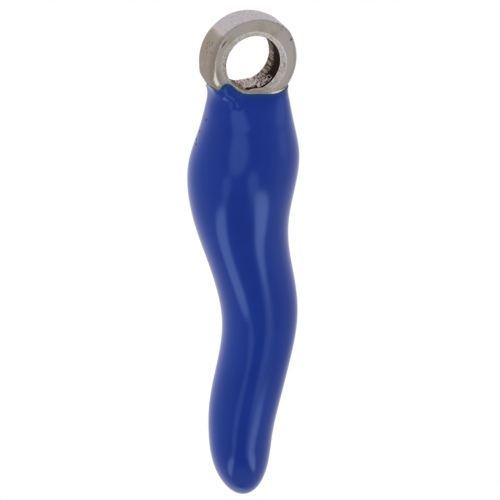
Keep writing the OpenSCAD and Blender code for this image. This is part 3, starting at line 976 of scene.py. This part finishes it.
# Soft openings in the tent: azimuth, elevation, tilt, half width and half height in degrees,
# and level. A dim one far below, a faint one in front above, a faint leg and a bright foot
# down from each of its sides, and one at the right
OPENINGS = [
    (-5, -62, 0, 60, 18, 0.30), (-14, 14, -30, 17.5, 22, 0.53),
    (-34, -18, -21, 8, 12, 0.45), (-59, -45, -60, 8, 25, 1.03),
    (12, -19, 30, 8, 13, 0.46), (37, -34, -20, 20, 6, 1.14),
    (68, 10, 0, 18, 18, 0.53)]

# The softboxes: name, azimuth, elevation and level. Each is square, faces the middle of the
# pepper and is as far from it, in metres
SOFTBOXES = [("key_softbox", -50, 40, 1.5), ("fill_softbox", 60, 25, 0.6)]
SOFTBOX_SIDE, SOFTBOX_FAR = 0.25, 0.35
MIDDLE = Vector((0, 0, -9))

# The picture: azimuth and elevation of the camera, its lens and sensor, the point it looks at,
# and the width that it takes in there
CAMERA_AT, CAMERA_LENS, CAMERA_SENSOR = (-21, 21), 1000, 36
LOOK_AT, PICTURE_W = Vector((0.120, 0.03, -8.96)), 21.87

# The floor: how far it lies below the bore, and its radius
FLOOR_DROP, FLOOR_R = 130, 160


def view_from(azimuth, elevation):
    """Direction from the object to a viewer: azimuth 0 is in front, on the -Y side."""
    a, e = math.radians(azimuth), math.radians(elevation)
    return Vector((math.sin(a) * math.cos(e), -math.cos(a) * math.cos(e), math.sin(e)))


def softbox(name, azimuth, elevation, level):
    """Square area light that faces the middle of the pepper. Its power is pi * area * level,
    so that a level of 1 looks as bright as a white card in full light."""
    light = bpy.data.lights.new(name, "AREA")
    light.shape = "SQUARE"
    light.size = SOFTBOX_SIDE
    light.energy = math.pi * SOFTBOX_SIDE**2 * level
    lamp = bpy.data.objects.new(name, light)
    back = view_from(azimuth, elevation)
    lamp.location = MIDDLE * MM + back * SOFTBOX_FAR
    lamp.rotation_mode = "QUATERNION"
    lamp.rotation_quaternion = back.to_track_quat("Z", "Y")
    lamp.visible_glossy = False
    bpy.context.scene.collection.objects.link(lamp)


def behind(angle, level):
    """Grey of a level, turned slightly lilac behind the object."""
    share = float(soft_step(95, 140, abs(angle)))
    return (level * (1 - 0.03 * share), level * (1 - 0.05 * share), level, 1.0)


def studio_world():
    """White to the camera and to glass all round. A mirror sees a light tent with soft
    openings, ellipses in azimuth and elevation whose edges fade over a quarter of their size.
    All other rays get a plain even fill."""
    world = bpy.data.worlds.new("studio")
    world.use_nodes = True
    tree = world.node_tree
    tree.nodes.clear()
    way = add(tree, "ShaderNodeTexCoord").outputs["Generated"]
    axes = add(tree, "ShaderNodeSeparateXYZ", {"Vector": way})
    ahead = add(tree, "ShaderNodeMath", {0: axes.outputs["Y"], 1: -1.0}, operation="MULTIPLY")
    turn = add(tree, "ShaderNodeMath", {
        0: axes.outputs["X"], 1: ahead.outputs["Value"]}, operation="ARCTAN2")
    rise = add(tree, "ShaderNodeMath", {0: axes.outputs["Z"]}, operation="ARCSINE")
    share = add(tree, "ShaderNodeMapRange", {
        "Value": turn.outputs["Value"], "From Min": -math.pi, "From Max": math.pi})
    stops = [((angle + 180) / 360, behind(angle, level)) for angle, level in ROOM]
    ramp = add(tree, "ShaderNodeValToRGB", {"Fac": share.outputs["Result"]}, stops=stops)
    high = add(tree, "ShaderNodeMapRange", {
        "Value": rise.outputs["Value"], "From Min": math.radians(TENT_TOP_FROM),
        "From Max": math.radians(TENT_TOP_TO)}, interpolation_type="SMOOTHSTEP")
    seen = add(tree, "ShaderNodeMix", {
        "Factor": high.outputs["Result"], "A": ramp.outputs["Color"], "B": grey(TENT_TOP)},
        data_type="RGBA").outputs[2]
    place = add(tree, "ShaderNodeCombineXYZ", {
        "X": turn.outputs["Value"], "Y": rise.outputs["Value"]})
    for azimuth, elevation, tilt, half_w, half_h, level in OPENINGS:
        local = add(tree, "ShaderNodeMapping", {
            "Vector": place.outputs["Vector"],
            "Location": (math.radians(azimuth), math.radians(elevation), 0.0),
            "Rotation": (0.0, 0.0, math.radians(tilt)),
            "Scale": (math.radians(half_w), math.radians(half_h), 1.0)},
            vector_type="TEXTURE")
        far = add(tree, "ShaderNodeVectorMath", {0: local.outputs["Vector"]}, operation="LENGTH")
        inside = add(tree, "ShaderNodeMapRange", {
            "Value": far.outputs["Value"], "From Min": 1.25, "From Max": 0.75},
            interpolation_type="SMOOTHSTEP")
        seen = add(tree, "ShaderNodeMix", {
            "Factor": inside.outputs["Result"], "A": seen, "B": grey(level)},
            data_type="RGBA").outputs[2]
    path = add(tree, "ShaderNodeLightPath")
    fill = add(tree, "ShaderNodeMix", {
        "Factor": path.outputs["Is Glossy Ray"], "A": grey(0.8), "B": seen}, data_type="RGBA")
    clear = add(tree, "ShaderNodeMath", {
        0: path.outputs["Is Camera Ray"], 1: path.outputs["Is Transmission Ray"]},
        operation="MAXIMUM")
    shown = add(tree, "ShaderNodeMix", {
        "Factor": clear.outputs["Value"], "A": fill.outputs[2], "B": grey(1.0)},
        data_type="RGBA")
    back = add(tree, "ShaderNodeBackground", {"Color": shown.outputs[2]})
    add(tree, "ShaderNodeOutputWorld", {"Surface": back.outputs["Background"]})
    bpy.context.scene.world = world


def pale_board(colours):
    """Matt pale board: plain diffuse white, lifted to white for the camera and for glass, so
    that only a shadow shows on it."""
    material, tree, place = blank_material("pale_board")
    fibres = add(tree, "ShaderNodeTexNoise", {"Vector": place, "Scale": 1 / 2.0, "Detail": 3.0})
    tone = add(tree, "ShaderNodeMapRange", {
        "Value": fibres.outputs["Fac"], "To Min": 0.97, "To Max": 1.0})
    board = add(tree, "ShaderNodeVectorMath", {
        0: tuple(colours.floor)[:3], "Scale": tone.outputs["Result"]}, operation="SCALE")
    matt = add(tree, "ShaderNodeBsdfDiffuse", {"Color": board.outputs["Vector"]})
    path = add(tree, "ShaderNodeLightPath")
    lit = add(tree, "ShaderNodeMath", {
        0: path.outputs["Is Camera Ray"], 1: path.outputs["Is Transmission Ray"]},
        operation="MAXIMUM")
    lift = add(tree, "ShaderNodeMath", {0: lit.outputs["Value"], 1: 0.4}, operation="MULTIPLY")
    glow = add(tree, "ShaderNodeEmission", {"Strength": lift.outputs["Value"]})
    both = add(tree, "ShaderNodeAddShader", {0: matt.outputs["BSDF"], 1: glow.outputs["Emission"]})
    add(tree, "ShaderNodeOutputMaterial", {"Surface": both.outputs["Shader"]})
    return material


class CHARM_OT_stage(bpy.types.Operator):
    """Make the floor, the lights and the camera"""
    bl_idname = "charm.stage"
    bl_label = "Stage"

    def execute(self, context):
        """The floor is a disc: rings of points at even distances round the middle."""
        scene = context.scene
        columns, rings = 64, 6
        angle = np.linspace(0, 2 * math.pi, columns, endpoint=False)
        far = np.linspace(FLOOR_R, FLOOR_R / rings, rings)[:, None]
        level = np.full((rings, columns), -FLOOR_DROP)
        grid = np.stack([far * np.cos(angle), far * np.sin(angle), level], axis=-1)
        points = np.concatenate([grid.reshape(-1, 3), [[0, 0, -FLOOR_DROP]]])
        last = rings * columns
        faces = [
            grid_faces(rings, columns)[:, ::-1],
            fan_faces(last - columns, columns, last)[:, ::-1]]
        floor = mesh_piece("floor", points, faces)
        floor.data.materials.append(pale_board(scene.charm_colours))
        floor.visible_glossy = False
        studio_world()
        for name, azimuth, elevation, level in SOFTBOXES:
            softbox(name, azimuth, elevation, level)
        scene.view_settings.view_transform = "Standard"
        data = bpy.data.cameras.new("camera")
        data.lens, data.sensor_width = CAMERA_LENS, CAMERA_SENSOR
        data.clip_start, data.clip_end = 0.01, 10
        camera = bpy.data.objects.new("camera", data)
        back = view_from(*CAMERA_AT)
        far = CAMERA_LENS / CAMERA_SENSOR * PICTURE_W
        camera.location = (LOOK_AT + back * far) * MM
        camera.rotation_mode = "QUATERNION"
        camera.rotation_quaternion = (-back).to_track_quat("-Z", "Y")
        scene.collection.objects.link(camera)
        scene.camera = camera
        return {"FINISHED"}


class CHARM_PT_panel(bpy.types.Panel):
    bl_label = "Chili Pepper Charm"
    bl_space_type = "VIEW_3D"
    bl_region_type = "UI"
    bl_category = "Charm"

    def draw(self, context):
        for group in ("charm_eye", "charm_pepper", "charm_colours"):
            settings = getattr(context.scene, group)
            for key in settings.__annotations__:
                self.layout.prop(settings, key)
        for step in OPERATORS:
            self.layout.operator(step.bl_idname)


OPERATORS = (CHARM_OT_stage, CHARM_OT_eye, CHARM_OT_core, CHARM_OT_enamel, CHARM_OT_solder)
CLASSES = (EyeSizes, PepperSizes, Colours) + OPERATORS + (CHARM_PT_panel,)


def register():
    for kind in CLASSES:
        bpy.utils.register_class(kind)
    scene = bpy.types.Scene
    scene.charm_eye = bpy.props.PointerProperty(type=EyeSizes)
    scene.charm_pepper = bpy.props.PointerProperty(type=PepperSizes)
    scene.charm_colours = bpy.props.PointerProperty(type=Colours)


def unregister():
    for name in ("charm_eye", "charm_pepper", "charm_colours"):
        delattr(bpy.types.Scene, name)
    for kind in reversed(CLASSES):
        bpy.utils.unregister_class(kind)


def main():
    register()
    bpy.ops.charm.stage()
    bpy.ops.charm.eye()
    bpy.ops.charm.core()
    bpy.ops.charm.enamel()
    bpy.ops.charm.solder()


if __name__ == "__main__":
    main()
